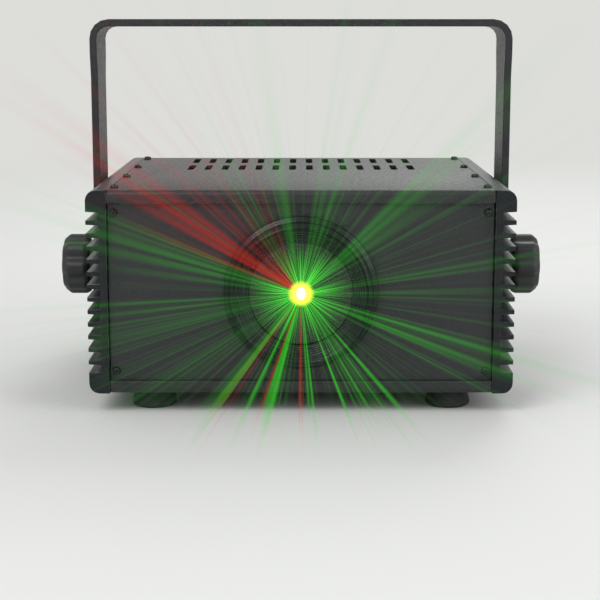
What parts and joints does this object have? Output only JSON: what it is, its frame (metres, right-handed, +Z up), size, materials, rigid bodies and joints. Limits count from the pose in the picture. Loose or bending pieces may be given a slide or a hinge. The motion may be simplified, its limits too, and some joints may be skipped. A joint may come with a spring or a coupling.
{
  "type": "laser effect projector",
  "caption": "Compact two-colour laser effect projector: finned box housing with a round front aperture, rear control panel and a tilting U-shaped yoke with clamp knobs.",
  "frame": {"origin": "middle of the bounding box's underside, in the plane that the four feet stand on", "axes": "+Z up, the aperture faces -Y, +X to the right of a viewer who looks at the aperture along +Y"},
  "size_m": [0.2058, 0.1768, 0.153],
  "materials": {
    "powder_coat": "fine satin black powder coat on steel sheet",
    "black_anodised": "black anodised extrusion",
    "bare_aluminium": "bead-blasted natural",
    "bare_steel": "bright zinc plated",
    "guard_wire": "nickel plated wire",
    "zinc_casting": "satin nickel plated die casting",
    "rubber": "matt black rubber",
    "black_nylon": "moulded black nylon",
    "gloss_black": "moulded glossy black",
    "window_glass": "clear coated glass, lit from behind",
    "grating_film": "embossed diffraction film in a moulded rim",
    "combiner_glass": "dichroic coated glass",
    "circuit_board": "solder-masked board with its components",
    "brass": "machined",
    "display_lens": "dark red tinted acrylic",
    "fuse_glass": "glass tube with metal caps"
  },
  "bodies": {
    "housing": {"base_tray": "powder_coat", "top_cover": "powder_coat", "front_panel": "powder_coat", "rear_panel": "powder_coat", "side_cheek_left": "black_anodised", "side_cheek_right": "black_anodised", "aperture_bezel": "black_anodised", "aperture_window": "window_glass", "window_seal": "rubber", "foot_1": "rubber", "foot_2": "rubber", "foot_3": "rubber", "foot_4": "rubber", "optics_plate": "bare_aluminium", "grating_bracket": "bare_steel", "grating_motor_front": "bare_steel", "grating_motor_rear": "bare_steel", "green_laser_module": "bare_aluminium", "red_laser_module": "bare_aluminium", "combiner_mirror": "combiner_glass", "mirror_mount": "bare_aluminium", "power_supply_board": "circuit_board", "driver_board": "circuit_board", "menu_board": "circuit_board", "fan_frame": "black_nylon", "fan_guard": "guard_wire", "mains_inlet": "black_nylon", "power_switch_frame": "gloss_black", "dmx_in": "zinc_casting", "dmx_out": "zinc_casting", "sensitivity_pot": "brass", "key_switch": "zinc_casting", "display_window": "display_lens", "microphone": "bare_aluminium", "safety_eye": "bare_steel", "friction_washer_left": "rubber", "friction_washer_right": "rubber"},
    "yoke": {"yoke_bracket": "powder_coat"},
    "tilt_knob_left": {"tilt_knob_left": "black_nylon"},
    "tilt_knob_right": {"tilt_knob_right": "black_nylon"},
    "fan_rotor": {"fan_rotor": "black_nylon"},
    "grating_wheel_front": {"grating_wheel_front": "grating_film", "grating_shaft_front": "bare_steel"},
    "grating_wheel_rear": {"grating_wheel_rear": "grating_film", "grating_shaft_rear": "bare_steel"},
    "power_rocker": {"power_rocker": "gloss_black"},
    "sensitivity_dial": {"sensitivity_dial": "black_nylon"},
    "key": {"key": "zinc_casting", "key_plug": "brass"},
    "fuse_drawer": {"fuse_drawer": "black_nylon", "glass_fuse": "fuse_glass"},
    "dmx_latch": {"dmx_latch": "zinc_casting"},
    "menu_button_1": {"menu_button_1": "gloss_black"},
    "menu_button_2": {"menu_button_2": "gloss_black"},
    "menu_button_3": {"menu_button_3": "gloss_black"},
    "menu_button_4": {"menu_button_4": "gloss_black"}
  },
  "joints": [
    {"name": "yoke_tilt", "type": "hinge", "parent": "housing", "child": "yoke", "pos_m": [0, -0.0064, 0.048], "axis": [1, 0, 0], "range_deg": [-105, 105]},
    {"name": "tilt_knob_left_turn", "type": "hinge", "parent": "housing", "child": "tilt_knob_left", "pos_m": [-0.0884, -0.0064, 0.048], "axis": [-1, 0, 0], "range_deg": [0, 270]},
    {"name": "tilt_knob_right_turn", "type": "hinge", "parent": "housing", "child": "tilt_knob_right", "pos_m": [0.0884, -0.0064, 0.048], "axis": [1, 0, 0], "range_deg": [0, 270]},
    {"name": "fan_spin", "type": "hinge", "parent": "housing", "child": "fan_rotor", "pos_m": [0.0166, 0.06055, 0.048], "axis": [0, 1, 0], "continuous": true},
    {"name": "grating_front_spin", "type": "hinge", "parent": "housing", "child": "grating_wheel_front", "pos_m": [0.018, -0.0741, 0.048], "axis": [0, 1, 0], "continuous": true},
    {"name": "grating_rear_spin", "type": "hinge", "parent": "housing", "child": "grating_wheel_rear", "pos_m": [-0.018, -0.0676, 0.048], "axis": [0, 1, 0], "continuous": true},
    {"name": "power_rocker_tilt", "type": "hinge", "parent": "housing", "child": "power_rocker", "pos_m": [0.06455, 0.0674, 0.06567], "axis": [1, 0, 0], "range_deg": [-18, 0]},
    {"name": "sensitivity_turn", "type": "hinge", "parent": "housing", "child": "sensitivity_dial", "pos_m": [0.04705, 0.0694, 0.06567], "axis": [0, 1, 0], "range_deg": [-150, 150]},
    {"name": "key_turn", "type": "hinge", "parent": "housing", "child": "key", "pos_m": [-0.0216, 0.0701, 0.06567], "axis": [0, 1, 0], "range_deg": [0, 90]},
    {"name": "fuse_drawer_slide", "type": "slide", "parent": "housing", "child": "fuse_drawer", "axis": [0, 1, 0], "range_m": [0, 0.02]},
    {"name": "dmx_latch_press", "type": "slide", "parent": "housing", "child": "dmx_latch", "axis": [0, -1, 0], "range_m": [0, 0.0015], "stiffness_N_per_m": 400, "springref_m": -0.001},
    {"name": "menu_button_1_press", "type": "slide", "parent": "housing", "child": "menu_button_1", "axis": [0, -1, 0], "range_m": [0, 0.0008], "stiffness_N_per_m": 300, "springref_m": -0.001},
    {"name": "menu_button_2_press", "type": "slide", "parent": "housing", "child": "menu_button_2", "axis": [0, -1, 0], "range_m": [0, 0.0008], "stiffness_N_per_m": 300, "springref_m": -0.001},
    {"name": "menu_button_3_press", "type": "slide", "parent": "housing", "child": "menu_button_3", "axis": [0, -1, 0], "range_m": [0, 0.0008], "stiffness_N_per_m": 300, "springref_m": -0.001},
    {"name": "menu_button_4_press", "type": "slide", "parent": "housing", "child": "menu_button_4", "axis": [0, -1, 0], "range_m": [0, 0.0008], "stiffness_N_per_m": 300, "springref_m": -0.001}
  ]
}
